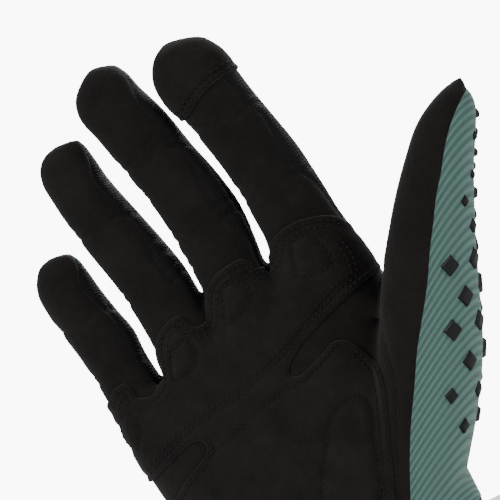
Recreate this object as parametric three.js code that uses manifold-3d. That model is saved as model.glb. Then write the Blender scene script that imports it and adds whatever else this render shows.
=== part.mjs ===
// A full-finger cycling glove for the right hand, as it looks when it is worn: suede palm, ribbed
// knit back, mesh strips between the fingers, a sewn palm overlay, a fingertip cap and a cuff.
// Millimetres. +Z runs along the hand from the cuff's opening to the fingertips, +X points to the
// thumb side, and the palm faces -Y. The origin is the centre of the cuff's opening.
import * as THREE from "three";
import { mergeVertices } from "three/addons/utils/BufferGeometryUtils.js";
import Module from "manifold-3d";

const wasm = await Module();
wasm.setup();

// Hand and cuff sizes.
const CUFF_LENGTH = 46;
const CUFF_WIDTH = 80;
const CUFF_DEPTH = 43;
const PALM_WIDTH = 95;
const PALM_LENGTH = 96;
const PALM_DEPTH = 32;
const PALM_OFFSET = -3.5;
const WRIST_WIDTH = 78;

// Fabric thicknesses, and the clearance kept between two pieces.
const SHELL_WALL = 1.3;
const CUFF_WALL = 2;
const OVERLAY_WALL = 1.2;
const CAP_WALL = 1;
const SEAM_GAP = 0.3;

// Mesh strips between the fingers.
const STRIP_WIDTH = 8;
const STRIP_WAVE = 1.3;

// Rubber diamonds on the back of the thumb.
const DOT_LENGTH = 7;
const DOT_WIDTH = 5.8;
const DOT_HEIGHT = 1;

const MERGE = 1e-3;
const FINEST_EDGE = 0.02;
const FINGER_SIDES = 14;
const PALM_SIDES = 24;
const RAD = Math.PI / 180;

// Fingers. across and along place the web end of the axis on the palm, as shares of its width and
// length. Lengths, widths and depths are the real sizes. lean is the tip's shift towards the
// little finger, curl its shift towards the palm, and roll turns the seams round the finger.
const FINGERS = [
  {
    name: "pinky", across: 0.092, along: 0.73, length: 59, width: 18.4, depth: 17.5,
    lean: 1.5, curl: 7, roll: 12,
    sections: [
      { share: -0.3, left: 0.96, right: 1.2, deep: 1.3 },
      { share: 0, left: 0.94, right: 1.2, deep: 1.2 },
      { share: 0.13, left: 0.93, right: 1.1, deep: 1.1 },
      { share: 0.32, left: 0.93, right: 1.04, deep: 1.04 },
      { share: 0.45, left: 0.97, right: 1.12, deep: 1.02 },
      { share: 0.58, left: 1.05, right: 0.98, deep: 1 },
      { share: 0.75, left: 1.11, right: 0.85, deep: 1 },
      { share: 0.86, left: 1.03, right: 0.82, deep: 0.94 },
      { share: 0.94, left: 0.72, right: 0.72, deep: 0.74 },
      { share: 0.98, left: 0.42, right: 0.5, deep: 0.44 },
    ],
  },
  {
    name: "ring", across: 0.35, along: 0.854, length: 76.5, width: 21.6, depth: 19.5,
    lean: 6.7, curl: 9, roll: 12,
    sections: [
      { share: -0.35, left: 1.18, right: 1.08, deep: 1.25 },
      { share: -0.07, left: 1.24, right: 1.06, deep: 1.2 },
      { share: 0.04, left: 1.1, right: 0.92, deep: 1.12 },
      { share: 0.2, left: 0.96, right: 1.02, deep: 1.04 },
      { share: 0.32, left: 0.94, right: 1.12, deep: 1 },
      { share: 0.46, left: 0.98, right: 1, deep: 0.98 },
      { share: 0.6, left: 1.04, right: 0.84, deep: 1 },
      { share: 0.8, left: 1.02, right: 0.68, deep: 0.98 },
      { share: 0.9, left: 0.93, right: 0.7, deep: 0.88 },
      { share: 0.96, left: 0.66, right: 0.68, deep: 0.62 },
      { share: 0.985, left: 0.4, right: 0.58, deep: 0.36 },
    ],
  },
  {
    name: "middle", across: 0.585, along: 0.917, length: 86, width: 23, depth: 20.5,
    lean: 7.1, curl: 9, roll: 12,
    sections: [
      { share: -0.35, left: 1.1, right: 1.08, deep: 1.2 },
      { share: 0, left: 1.24, right: 1, deep: 1.18 },
      { share: 0.08, left: 0.98, right: 0.92, deep: 1.1 },
      { share: 0.2, left: 0.85, right: 1.1, deep: 1.04 },
      { share: 0.33, left: 0.78, right: 1.22, deep: 1 },
      { share: 0.46, left: 0.76, right: 1.16, deep: 1 },
      { share: 0.58, left: 0.83, right: 1.02, deep: 0.98 },
      { share: 0.76, left: 0.98, right: 0.9, deep: 1 },
      { share: 0.87, left: 1.04, right: 0.76, deep: 0.94 },
      { share: 0.94, left: 0.74, right: 0.68, deep: 0.72 },
      { share: 0.98, left: 0.3, right: 0.46, deep: 0.4 },
    ],
  },
  {
    name: "index", across: 0.858, along: 0.958, length: 77, width: 23.6, depth: 20.5,
    lean: 9, curl: 7, roll: 12,
    sections: [
      { share: -0.35, left: 1.12, right: 1.12, deep: 1.2 },
      { share: -0.02, left: 1.34, right: 1.13, deep: 1.16 },
      { share: 0.08, left: 1.02, right: 1.13, deep: 1.08 },
      { share: 0.24, left: 0.88, right: 1.16, deep: 1.02 },
      { share: 0.42, left: 0.8, right: 1.2, deep: 1 },
      { share: 0.56, left: 0.79, right: 1.13, deep: 0.98 },
      { share: 0.7, left: 0.84, right: 1.06, deep: 1 },
      { share: 0.82, left: 0.92, right: 1.06, deep: 0.98 },
      { share: 0.91, left: 0.74, right: 0.98, deep: 0.82 },
      { share: 0.965, left: 0.42, right: 0.68, deep: 0.54 },
    ],
  },
];

// Palm. Each row is one ring: its edge points on the little finger's side and the thumb's side, as
// shares of the palm's width and length, and its depth to the front and back as shares.
const PALM_RINGS = [
  { leftZ: -0.12, rightZ: -0.12, deep: [1.22, 1.24] },
  { leftX: 0.1, leftZ: 0.15, rightX: 0.955, rightZ: 0.15, deep: [1.24, 1.18] },
  { leftX: 0.04, leftZ: 0.3, rightX: 0.965, rightZ: 0.3, deep: [1.2, 1.12] },
  { leftX: 0.012, leftZ: 0.47, rightX: 0.975, rightZ: 0.47, deep: [1.12, 1.06] },
  { leftX: 0, leftZ: 0.6, rightX: 0.985, rightZ: 0.63, deep: [1.02, 1] },
  { leftX: 0, leftZ: 0.7, rightX: 1, rightZ: 0.8, deep: [0.9, 0.9] },
  { leftX: 0.02, leftZ: 0.77, rightX: 0.99, rightZ: 0.93, deep: [0.74, 0.76] },
];

// Thumb. Each row is one ring of the tube: its centre as shares of the palm's width and length and
// of the reach forward, and its half extents towards the pad, the back and the sides in shares of
// the thumb's width.
const THUMB_WIDTH = 26;
const THUMB_REACH = 32;
const THUMB_RINGS = [
  { x: 0.72, z: 0.02, forward: 0.06, pad: 0.5, back: 0.5, side: 0.5 },
  { x: 0.84, z: 0.2, forward: 0.16, pad: 0.58, back: 0.56, side: 0.58 },
  { x: 0.955, z: 0.36, forward: 0.27, pad: 0.6, back: 0.61, side: 0.59 },
  { x: 1.06, z: 0.51, forward: 0.38, pad: 0.62, back: 0.61, side: 0.55 },
  { x: 1.15, z: 0.67, forward: 0.53, pad: 0.6, back: 0.58, side: 0.5 },
  { x: 1.23, z: 0.795, forward: 0.68, pad: 0.53, back: 0.52, side: 0.46 },
  { x: 1.31, z: 0.91, forward: 0.81, pad: 0.47, back: 0.46, side: 0.43 },
  { x: 1.39, z: 1.02, forward: 0.92, pad: 0.38, back: 0.4, side: 0.41 },
  { x: 1.455, z: 1.095, forward: 0.98, pad: 0.32, back: 0.35, side: 0.37 },
  { x: 1.525, z: 1.165, forward: 1, pad: 0.18, back: 0.24, side: 0.26 },
  { x: 1.555, z: 1.195, forward: 1.01, pad: 0.09, back: 0.12, side: 0.14 },
];
const THUMB_TIP = { x: 1.572, z: 1.212, forward: 1.01 };

// Seam between the thumb's suede front and the knit back, seen from the palm side.
const THUMB_SEAM = [
  { x: 1.64, z: 1.29 },
  { x: 1.575, z: 1.208 },
  { x: 1.46, z: 1.105 },
  { x: 1.3, z: 0.925 },
  { x: 1.13, z: 0.69 },
  { x: 1, z: 0.525 },
  { x: 0.87, z: 0.32 },
  { x: 0.76, z: 0.12 },
  { x: 0.7, z: -0.1 },
];

// Seam at the foot of the thumb, where its suede front meets the palm's suede.
const CREASE_SEAM = [
  { x: 1.016, z: 1.4 },
  { x: 1.016, z: 0.83 },
  { x: 0.98, z: 0.755 },
  { x: 0.93, z: 0.645 },
  { x: 0.875, z: 0.53 },
  { x: 0.82, z: 0.4 },
  { x: 0.725, z: 0.17 },
  { x: 0.66, z: -0.1 },
];

// Outline of the palm overlay, from the little finger's lobe round to the heel of the hand. A row
// with sharp is a corner, and the rows between corners lie on one smooth curve.
const OVERLAY_OUTLINE = [
  { x: -0.08, z: 0.81, sharp: true },
  { x: 0.02, z: 0.825, sharp: true },
  { x: 0.055, z: 0.86 },
  { x: 0.1, z: 0.862 },
  { x: 0.122, z: 0.81 },
  { x: 0.17, z: 0.782 },
  { x: 0.22, z: 0.82 },
  { x: 0.245, z: 0.905 },
  { x: 0.3, z: 0.96 },
  { x: 0.35, z: 0.972 },
  { x: 0.38, z: 0.92 },
  { x: 0.43, z: 0.905 },
  { x: 0.472, z: 0.97 },
  { x: 0.52, z: 1.02 },
  { x: 0.59, z: 1.04 },
  { x: 0.64, z: 1.02 },
  { x: 0.655, z: 0.985 },
  { x: 0.7, z: 0.99 },
  { x: 0.735, z: 1.04 },
  { x: 0.79, z: 1.062 },
  { x: 0.87, z: 1.062 },
  { x: 0.94, z: 1.04 },
  { x: 0.985, z: 0.97 },
  { x: 0.99, z: 0.82, sharp: true },
  { x: 0.975, z: 0.79, sharp: true },
  { x: 0.84, z: 0.765 },
  { x: 0.71, z: 0.727 },
  { x: 0.62, z: 0.685 },
  { x: 0.582, z: 0.655 },
  { x: 0.585, z: 0.63 },
  { x: 0.625, z: 0.62 },
  { x: 0.7, z: 0.64 },
  { x: 0.77, z: 0.66 },
  { x: 0.82, z: 0.625 },
  { x: 0.852, z: 0.53 },
  { x: 0.8, z: 0.39 },
  { x: 0.71, z: 0.17 },
  { x: 0.665, z: 0.02, sharp: true },
  { x: -0.08, z: 0.02, sharp: true },
  { x: -0.08, z: 0.42, sharp: true },
  { x: 0.05, z: 0.46 },
  { x: 0.15, z: 0.505 },
  { x: 0.205, z: 0.53 },
  { x: 0.228, z: 0.56 },
  { x: 0.215, z: 0.588 },
  { x: 0.15, z: 0.585 },
  { x: 0.07, z: 0.56 },
  { x: -0.08, z: 0.5, sharp: true },
];

// Lower edge of the fingertip cap, as shares of the index finger's half width and its length.
const CAP_EDGE = [
  { side: -1.7, share: 0.66 },
  { side: -1, share: 0.705 },
  { side: -0.4, share: 0.765 },
  { side: 0.2, share: 0.79 },
  { side: 0.9, share: 0.79 },
  { side: 1.7, share: 0.77 },
];

// Diamonds. Each row is one ring of them round the thumb: its place from the tip as a share of the
// thumb's length, its size as a share of the full one, and the columns it fills, in degrees from
// the palm side towards the back.
const WIDE_COLUMNS = [17, 59, 101, 143];
const STAGGERED_COLUMNS = [38, 80, 122];
const DOT_ROWS = [
  { share: 0.062, size: 0.38, columns: [80] },
  { share: 0.105, size: 0.38, columns: [59, 101] },
  { share: 0.147, size: 0.38, columns: [80, 122] },
  { share: 0.19, size: 0.4, columns: [59, 101] },
  { share: 0.24, size: 0.52, columns: STAGGERED_COLUMNS },
  { share: 0.3, size: 0.66, columns: [59, 101, 143] },
  { share: 0.373, size: 1, columns: WIDE_COLUMNS },
  { share: 0.447, size: 1, columns: STAGGERED_COLUMNS },
  { share: 0.522, size: 1, columns: WIDE_COLUMNS },
  { share: 0.594, size: 0.95, columns: STAGGERED_COLUMNS },
  { share: 0.664, size: 0.75, columns: WIDE_COLUMNS },
  { share: 0.735, size: 0.75, columns: STAGGERED_COLUMNS },
];

// Cuff. Each row is one ring: its height as a share of the cuff's length, and its width and depth
// as shares of the cuff's.
const CUFF_RINGS = [
  { height: 0, width: 1.02, depth: 1.02 },
  { height: 0.3, width: 0.99, depth: 0.98 },
  { height: 0.6, width: 0.96, depth: 0.94 },
  { height: 0.85, width: 0.955, depth: 0.94 },
  { height: 1, width: 0.975, depth: 0.97 },
];

const palmX = (share) => PALM_OFFSET + (share - 0.5) * PALM_WIDTH;
const palmZ = (share) => CUFF_LENGTH + share * PALM_LENGTH;
const mix = THREE.MathUtils.lerp;
const ramp = (x, low, high) => THREE.MathUtils.smoothstep(x, low, high);

// A closed mesh as a solid that can be cut and joined.
function solidFrom(geometry) {
  const bare = geometry.index ? geometry.toNonIndexed() : geometry.clone();
  bare.deleteAttribute("normal");
  bare.deleteAttribute("uv");
  const merged = mergeVertices(bare, MERGE);
  const mesh = new wasm.Mesh({
    numProp: 3,
    vertProperties: merged.attributes.position.array,
    triVerts: new Uint32Array(merged.index.array),
    tolerance: FINEST_EDGE,
  });
  return new wasm.Manifold(mesh);
}

function geometryFrom(solid) {
  const mesh = solid.getMesh();
  const geometry = new THREE.BufferGeometry();
  geometry.setAttribute("position", new THREE.BufferAttribute(mesh.vertProperties, 3));
  geometry.setIndex(new THREE.BufferAttribute(mesh.triVerts, 1));
  geometry.computeVertexNormals();
  return geometry;
}

// One ring of a tube. out and up are the section's axes, with the half extents on each side.
function ring({ centre, out, up, left, right, front, back, sides, power }) {
  return Array.from({ length: sides }, (_, i) => {
    const angle = (i / sides) * 2 * Math.PI;
    const c = Math.cos(angle);
    const s = Math.sin(angle);
    const a = Math.sign(c) * Math.abs(c) ** (2 / power) * (c > 0 ? right : left);
    const b = Math.sign(s) * Math.abs(s) ** (2 / power) * (s > 0 ? back : front);
    return centre.clone().addScaledVector(out, a).addScaledVector(up, b);
  });
}

// A closed skin over rings, with a point at the middle of each end.
function skin(rings, startPoint, endPoint) {
  const sides = rings[0].length;
  const points = [...rings.flat(), startPoint, endPoint];
  const start = rings.length * sides;
  const index = [];
  rings.slice(1).forEach((_, r) => {
    for (let i = 0; i < sides; i++) {
      const j = (i + 1) % sides;
      const low = r * sides;
      const high = low + sides;
      index.push(low + i, low + j, high + j, low + i, high + j, high + i);
    }
  });
  const last = (rings.length - 1) * sides;
  for (let i = 0; i < sides; i++) {
    const j = (i + 1) % sides;
    index.push(start, j, i, start + 1, last + i, last + j);
  }
  const geometry = new THREE.BufferGeometry().setFromPoints(points);
  geometry.setIndex(index);
  const solid = solidFrom(geometry);
  if (solid.volume() > 0) return solid;
  for (let i = 0; i < index.length; i += 3) [index[i], index[i + 1]] = [index[i + 1], index[i]];
  geometry.setIndex(index);
  return solidFrom(geometry);
}

// Middle of a finger at a share of its length.
function fingerCentre(finger, share) {
  const bend = Math.max(share, 0) ** 1.7;
  return new THREE.Vector3(
    palmX(finger.across) - finger.lean * share,
    -finger.curl * bend,
    palmZ(finger.along) + finger.length * share,
  );
}

function fingerForm(finger, grow) {
  const rings = finger.sections.map((row) => ring({
    centre: fingerCentre(finger, row.share),
    out: new THREE.Vector3(1, 0, 0),
    up: new THREE.Vector3(0, 1, 0),
    left: (row.left * finger.width) / 2 + grow,
    right: (row.right * finger.width) / 2 + grow,
    front: (row.deep * finger.depth) / 2 + grow,
    back: (row.deep * finger.depth) / 2 + grow,
    sides: FINGER_SIDES,
    power: 2.3,
  }));
  const tip = fingerCentre(finger, 1);
  tip.z += grow;
  return skin(rings, fingerCentre(finger, finger.sections[0].share), tip);
}

// The wrist end of the palm follows the wrist's own width.
function palmRow(row) {
  const wristLeft = (WRIST_WIDTH / -2 - palmX(0)) / PALM_WIDTH;
  const wristRight = (WRIST_WIDTH / 2 - palmX(0)) / PALM_WIDTH;
  return { leftX: wristLeft, rightX: wristRight, ...row };
}

function palmForm(grow) {
  const rings = PALM_RINGS.map(palmRow).map((row, i) => {
    const end = i === PALM_RINGS.length - 1 ? grow : 0;
    const left = new THREE.Vector3(palmX(row.leftX), 0, palmZ(row.leftZ) + end);
    const right = new THREE.Vector3(palmX(row.rightX), 0, palmZ(row.rightZ) + end);
    const half = left.distanceTo(right) / 2;
    return ring({
      centre: left.clone().add(right).multiplyScalar(0.5),
      out: right.clone().sub(left).normalize(),
      up: new THREE.Vector3(0, 1, 0),
      left: half + grow,
      right: half + grow,
      front: (row.deep[0] * PALM_DEPTH) / 2 + grow,
      back: (row.deep[1] * PALM_DEPTH) / 2 + grow,
      sides: PALM_SIDES,
      power: 2.5,
    });
  });
  const middle = (r) => r.reduce((sum, p) => sum.add(p), new THREE.Vector3()).divideScalar(r.length);
  return skin(rings, middle(rings[0]), middle(rings[rings.length - 1]));
}

const thumbPoint = (row) =>
  new THREE.Vector3(palmX(row.x), -row.forward * THUMB_REACH, palmZ(row.z));

function thumbForm(grow) {
  const points = [...THUMB_RINGS, THUMB_TIP].map(thumbPoint);
  const rings = THUMB_RINGS.map((row, i) => {
    const along = points[i + 1].clone().sub(points[Math.max(i - 1, 0)]).normalize();
    const side = new THREE.Vector3(0, 1, 0).addScaledVector(along, -along.y).normalize();
    return ring({
      centre: points[i],
      out: new THREE.Vector3().crossVectors(side, along),
      up: side,
      left: row.pad * THUMB_WIDTH + grow,
      right: row.back * THUMB_WIDTH + grow,
      front: row.side * THUMB_WIDTH + grow,
      back: row.side * THUMB_WIDTH + grow,
      sides: FINGER_SIDES + 2,
      power: 2.2,
    });
  });
  const reach = points.at(-1).clone().sub(points.at(-2)).normalize();
  return skin(rings, points[0], points.at(-1).addScaledVector(reach, grow));
}

// The whole hand's form, grown or shrunk by an even amount.
function handForm(grow) {
  const parts = [palmForm(grow), thumbForm(grow), ...FINGERS.map((f) => fingerForm(f, grow))];
  return parts.reduce((sum, part) => sum.add(part));
}

// An outline in the palm's plane, pushed through the hand from y = near to y = far.
function curtain(points, near, far) {
  const shape = new THREE.Shape(points.map(([x, z]) => new THREE.Vector2(x, z)));
  const geometry = new THREE.ExtrudeGeometry(shape, { depth: far - near, bevelEnabled: false });
  geometry.rotateX(Math.PI / 2);
  geometry.translate(0, far, 0);
  return solidFrom(geometry);
}

const REACH = 200;
const palmPoint = (row) => [palmX(row.x), palmZ(row.z)];

// The side of a seam that faces the little finger, moved by shift towards the thumb.
function beforeSeam(seam, shift) {
  const line = seam.map(palmPoint).map(([x, z]) => [x + shift, z]);
  const top = [-REACH, line[0][1] + REACH];
  const foot = [-REACH, line.at(-1)[1] - REACH];
  const reach = [line[0][0], line[0][1] + REACH];
  return curtain([top, foot, [line.at(-1)[0], foot[1]], ...line.reverse(), reach], -REACH, REACH);
}

const fingerShare = (finger, z) => (z - palmZ(finger.along)) / finger.length;

function fingerAt(x, z) {
  const distance = (f) => Math.abs(fingerCentre(f, fingerShare(f, z)).x - x);
  return FINGERS.reduce((best, f) => (distance(f) < distance(best) ? f : best));
}

// Height of a seam across the hand's thickness: towards -1 for the edge of the suede, +1 for the
// edge of the knit back. Both meet at the fingertips and along the little finger's outer side.
function seamHeight(x, z, towards) {
  const finger = fingerAt(x, z);
  const share = fingerShare(finger, z);
  const centre = fingerCentre(finger, Math.min(share, 1));
  const side = THREE.MathUtils.clamp((x - centre.x) / (finger.width / 2), -1, 1);
  const outer = finger.name === "pinky" && side < 0;
  const foot = finger.name === "index" && side > 0 ? ramp(share, -0.12, 0.3) : 1;
  const open = (outer ? 0 : foot) * (1 - ramp(share, 0.8, 0.97));
  const wave = STRIP_WAVE * Math.cos(share * 2 * Math.PI * 2.6) * ramp(share, 0, 0.3);
  const reach = STRIP_WIDTH / 2 + (towards < 0 ? wave : 0);
  const turn = Math.tan(finger.roll * RAD) * side * (finger.width / 2) * ramp(share, 0, 0.4);
  return centre.y * ramp(share, -0.1, 0.2) + towards * open * reach - turn * open;
}

// Everything on the palm side of a seam, as a block with a shaped top.
function belowSeam(towards, shift) {
  const columns = 26;
  const rows = 28;
  const low = new THREE.Vector2(palmX(-0.3), 0);
  const high = new THREE.Vector2(palmX(1.9), palmZ(2));
  const points = [];
  const index = [];
  for (const floor of [true, false]) {
    for (let r = 0; r <= rows; r++) {
      for (let c = 0; c <= columns; c++) {
        const x = mix(low.x, high.x, c / columns);
        const z = mix(low.y, high.y, r / rows);
        points.push(new THREE.Vector3(x, floor ? -REACH : seamHeight(x, z, towards) + shift, z));
      }
    }
  }
  const at = (r, c) => r * (columns + 1) + c;
  const top = (rows + 1) * (columns + 1);
  for (let r = 0; r < rows; r++) {
    for (let c = 0; c < columns; c++) {
      const [a, b, d, e] = [at(r, c), at(r, c + 1), at(r + 1, c), at(r + 1, c + 1)];
      index.push(a, b, e, a, e, d);
      index.push(top + a, top + e, top + b, top + a, top + d, top + e);
    }
  }
  const wall = (a, b) => index.push(a, top + a, top + b, a, top + b, b);
  for (let c = 0; c < columns; c++) {
    wall(at(0, c), at(0, c + 1));
    wall(at(rows, c + 1), at(rows, c));
  }
  for (let r = 0; r < rows; r++) {
    wall(at(r + 1, 0), at(r, 0));
    wall(at(r, columns), at(r + 1, columns));
  }
  const geometry = new THREE.BufferGeometry().setFromPoints(points);
  geometry.setIndex(index);
  return solidFrom(geometry);
}

// The outline's rows as points, with a smooth curve between sharp corners.
function smoothOutline(rows) {
  const points = [];
  const corners = rows.flatMap((row, i) => (row.sharp ? [i] : []));
  corners.forEach((from, k) => {
    const to = corners[(k + 1) % corners.length];
    const count = (to - from + rows.length) % rows.length;
    const run = Array.from({ length: count + 1 }, (_, i) => rows[(from + i) % rows.length]);
    const curve = new THREE.SplineCurve(run.map((row) => new THREE.Vector2(...palmPoint(row))));
    const steps = count === 1 ? 1 : Math.ceil(count * 1.4);
    points.push(...curve.getPoints(steps).slice(0, -1).map((p) => [p.x, p.y]));
  });
  return points;
}

// A slab between the middle lines of two fingers.
function betweenFingers(one, other) {
  const line = (finger, side) => [-0.6, 0, 0.5, 1.2].map((share) => {
    const centre = fingerCentre(finger, share);
    return [centre.x + side, centre.z];
  });
  const right = other ? line(other, 0) : line(one, one.width * 2);
  return curtain([...line(one, 0), ...right.reverse()], -REACH, REACH);
}

// The finger strips' and panels' shared shell of fabric, open at the wrist.
const wristCut = curtain(
  [[-REACH, CUFF_LENGTH + SEAM_GAP], [REACH, CUFF_LENGTH + SEAM_GAP], [REACH, 3 * REACH], [-REACH, 3 * REACH]],
  -REACH,
  REACH,
);
const shell = handForm(0).subtract(handForm(-SHELL_WALL)).intersect(wristCut);

const half = SEAM_GAP / 2;
const thumbSide = beforeSeam(THUMB_SEAM, -half);
const suede = shell.intersect(thumbSide).intersect(belowSeam(-1, -half));
const palmSide = beforeSeam(CREASE_SEAM, -half);
const backFree = beforeSeam(THUMB_SEAM, half).intersect(belowSeam(1, half));
const strips = shell
  .intersect(thumbSide)
  .intersect(belowSeam(1, -half))
  .subtract(belowSeam(-1, half));

// A piece's largest body, without the slivers that a cut can leave.
function mainBody(solid) {
  const bodies = solidFrom(geometryFrom(solid)).decompose();
  return bodies.reduce((best, body) => (body.volume() > best.volume() ? body : best));
}

function palmOverlay() {
  const layer = handForm(SEAM_GAP + OVERLAY_WALL).subtract(handForm(SEAM_GAP));
  const outline = curtain(smoothOutline(OVERLAY_OUTLINE), -REACH, REACH);
  return mainBody(layer.intersect(outline).intersect(belowSeam(-1, -2 * half)).intersect(wristCut));
}

function fingertipCap() {
  const finger = FINGERS.at(-1);
  const layer = fingerForm(finger, SEAM_GAP + CAP_WALL).subtract(fingerForm(finger, SEAM_GAP));
  const edge = CAP_EDGE.map((row) => {
    const centre = fingerCentre(finger, row.share);
    return [centre.x + (row.side * finger.width) / 2, centre.z];
  });
  const top = palmZ(finger.along) + finger.length * 1.2;
  const outline = [...edge, [edge.at(-1)[0], top], [edge[0][0], top]];
  return mainBody(layer.intersect(curtain(outline, -REACH, REACH)).intersect(belowSeam(1, half)));
}

// The cuff's form, shrunk by shrink and run past both of its ends by over.
function cuffForm(shrink, over) {
  const last = CUFF_RINGS.length - 1;
  const height = (row, i) => row.height * CUFF_LENGTH + (i === 0 ? -over : 0) + (i === last ? over : 0);
  const rings = CUFF_RINGS.map((row, i) => {
    const wide = (row.width * CUFF_WIDTH) / 2 - shrink;
    const deep = (row.depth * CUFF_DEPTH) / 2 - shrink;
    return ring({
      centre: new THREE.Vector3(0, 0, height(row, i)),
      out: new THREE.Vector3(1, 0, 0),
      up: new THREE.Vector3(0, 1, 0),
      left: wide,
      right: wide,
      front: deep,
      back: deep,
      sides: PALM_SIDES,
      power: 2.3,
    });
  });
  return skin(rings, new THREE.Vector3(0, 0, -over), new THREE.Vector3(0, 0, CUFF_LENGTH + over));
}

// One rubber diamond, cut out of a layer by a prism that leaves the thumb's axis at an angle.
function dot(layer, row, degrees) {
  const path = new THREE.CurvePath();
  const points = [...THUMB_RINGS, THUMB_TIP].map(thumbPoint).reverse();
  points.slice(1).forEach((point, i) => path.add(new THREE.LineCurve3(points[i], point)));
  const centre = path.getPointAt(row.share);
  const along = path.getTangentAt(row.share).negate();
  const front = new THREE.Vector3(0, -1, 0).addScaledVector(along, along.y).normalize();
  const side = new THREE.Vector3().crossVectors(along, front).negate();
  const angle = degrees * RAD;
  const out = front.multiplyScalar(Math.cos(angle)).addScaledVector(side, -Math.sin(angle));
  const across = new THREE.Vector3().crossVectors(along, out);
  const shape = new THREE.Shape([
    new THREE.Vector2((row.size * DOT_WIDTH) / 2, 0),
    new THREE.Vector2(0, (row.size * DOT_LENGTH) / 2),
    new THREE.Vector2((row.size * -DOT_WIDTH) / 2, 0),
    new THREE.Vector2(0, (row.size * -DOT_LENGTH) / 2),
  ]);
  const geometry = new THREE.ExtrudeGeometry(shape, { depth: REACH, bevelEnabled: false });
  geometry.applyMatrix4(new THREE.Matrix4().makeBasis(across, along, across.clone().cross(along)));
  geometry.translate(centre.x, centre.y, centre.z);
  return mainBody(layer.intersect(solidFrom(geometry)));
}

const suedeBlack = { color: 0x1d1c1b, roughness: 0.95, metalness: 0 };
const materials = {
  suede: new THREE.MeshStandardMaterial(suedeBlack),
  overlay: new THREE.MeshStandardMaterial({ ...suedeBlack, color: 0x211f1d }),
  knit: new THREE.MeshStandardMaterial({ color: 0x5f8278, roughness: 0.85, metalness: 0 }),
  mesh: new THREE.MeshStandardMaterial({ color: 0x0d0d10, roughness: 0.8, metalness: 0 }),
  rubber: new THREE.MeshStandardMaterial({ color: 0x161616, roughness: 0.55, metalness: 0 }),
  elastic: new THREE.MeshStandardMaterial({ color: 0x121213, roughness: 0.85, metalness: 0 }),
};

const glove = new THREE.Group();

function addPiece(name, solid, material) {
  const mesh = new THREE.Mesh(geometryFrom(solid), material);
  mesh.name = name;
  glove.add(mesh);
  return mesh;
}

addPiece("palm_panel", mainBody(suede.intersect(palmSide)), materials.suede);
addPiece("thumb_front", mainBody(suede.subtract(beforeSeam(CREASE_SEAM, half))), materials.suede);
addPiece("back_panel", mainBody(shell.subtract(backFree)), materials.knit);
FINGERS.forEach((finger, i) => {
  const next = FINGERS[i + 1];
  const name = next ? `strip_${finger.name}_${next.name}` : `strip_${finger.name}_side`;
  addPiece(name, mainBody(strips.intersect(betweenFingers(finger, next))), materials.mesh);
});
addPiece("palm_overlay", palmOverlay(), materials.overlay);
addPiece("fingertip_cap", fingertipCap(), materials.overlay);
addPiece("cuff", cuffForm(0, 0).subtract(cuffForm(CUFF_WALL, CUFF_WALL)), materials.elastic);

const rubberLayer = handForm(SEAM_GAP + DOT_HEIGHT).subtract(handForm(SEAM_GAP));
DOT_ROWS.forEach((row, i) => {
  row.columns.forEach((degrees) => {
    addPiece(`diamond_row${i + 1}_at${degrees}`, dot(rubberLayer, row, degrees), materials.rubber);
  });
});

export default glove;
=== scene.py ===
import math

import bpy
import numpy as np
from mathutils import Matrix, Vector
from mathutils.bvhtree import BVHTree


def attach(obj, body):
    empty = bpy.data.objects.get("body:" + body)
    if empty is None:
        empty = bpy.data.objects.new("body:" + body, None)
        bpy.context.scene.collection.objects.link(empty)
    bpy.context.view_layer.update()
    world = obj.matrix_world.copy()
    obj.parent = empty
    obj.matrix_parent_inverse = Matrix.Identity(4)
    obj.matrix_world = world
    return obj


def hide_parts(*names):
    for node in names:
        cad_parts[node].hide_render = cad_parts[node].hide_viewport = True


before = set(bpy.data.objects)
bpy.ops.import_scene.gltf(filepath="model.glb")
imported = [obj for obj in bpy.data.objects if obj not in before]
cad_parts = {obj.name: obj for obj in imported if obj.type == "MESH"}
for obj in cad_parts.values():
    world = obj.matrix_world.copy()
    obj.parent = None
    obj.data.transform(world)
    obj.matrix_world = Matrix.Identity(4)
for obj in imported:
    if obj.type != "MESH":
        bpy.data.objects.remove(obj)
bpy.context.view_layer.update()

# Sizes in millimetres, in the part's frame.
CUFF_LENGTH = 46
CUFF_WIDTH = 80
CUFF_DEPTH = 43
PALM_WIDTH = 95
PALM_LENGTH = 96
PALM_DEPTH = 32
PALM_OFFSET = -3.5
WRIST_WIDTH = 78
STRIP_WIDTH = 8
STRIP_WAVE = 1.3
FABRIC = 1.2
VOXEL = 0.84
RIB_PITCH = 1.5
STITCH_PITCH = 1.9

# The camera, which also sets the plane that the feature tables below are drawn in: the plane
# through the origin that faces the camera, x to the right and z up.
AZIMUTH = math.radians(12)
ROLL = math.radians(28.5)
DISTANCE = 700
CENTRE_X = 12
CENTRE_Z = 147.2
PICTURE_WIDTH = 156.25
SENSOR = 36

RIGHT = np.array([math.cos(AZIMUTH), math.sin(AZIMUTH), 0])
TOWARDS = np.array([math.sin(AZIMUTH), -math.cos(AZIMUTH), 0])
UP = np.array([0, 0, 1.0])
CENTRE = RIGHT * CENTRE_X + UP * CENTRE_Z
EYE = CENTRE + TOWARDS * DISTANCE

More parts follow.
